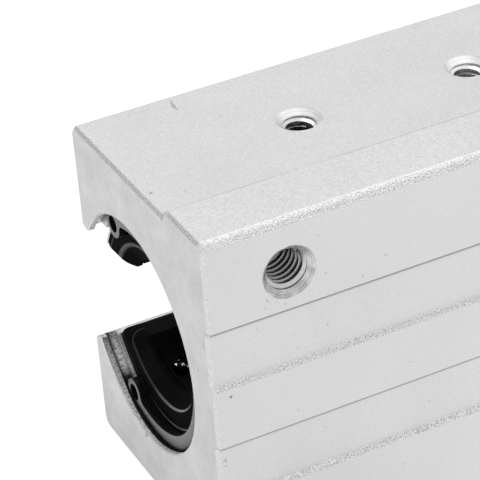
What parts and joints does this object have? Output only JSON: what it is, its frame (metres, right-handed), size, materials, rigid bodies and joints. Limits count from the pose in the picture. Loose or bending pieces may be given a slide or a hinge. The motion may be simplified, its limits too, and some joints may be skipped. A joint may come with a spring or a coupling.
{
  "type": "linear bearing block",
  "caption": "Open linear ball bearing block: a slotted aluminium housing holds ball bushings for a rail-supported shaft, with threaded holes in its mounting face.",
  "frame": {"origin": "on the shaft's axis at the middle of the block's length", "axes": "+X along the shaft, -Y out of the mounting face, +Y out of the shaft slot, +Z out of the side with the set screws; the block lies on its other side"},
  "size_m": [0.089, 0.034, 0.045],
  "materials": {
    "housing": "fine blasted",
    "sleeve": "ground",
    "ball": "polished",
    "retaining_ring": "black oxide, satin",
    "set_screw": "black oxide, satin",
    "retainer": "moulded, satin",
    "seal": "moulded, satin"
  },
  "bodies": {
    "root": {"housing": "housing", "retaining_ring_near": "retaining_ring", "sleeve_near": "sleeve", "retainer_near": "retainer", "outer_seal_near": "seal", "inner_seal_near": "seal", "balls_near_upper_1": "ball", "balls_near_upper_2": "ball", "balls_near_lower_1": "ball", "balls_near_lower_2": "ball", "set_screw_near": "set_screw", "retaining_ring_far": "retaining_ring", "sleeve_far": "sleeve", "retainer_far": "retainer", "outer_seal_far": "seal", "inner_seal_far": "seal", "balls_far_upper_1": "ball", "balls_far_upper_2": "ball", "balls_far_lower_1": "ball", "balls_far_lower_2": "ball", "set_screw_far": "set_screw"}
  },
  "joints": []
}
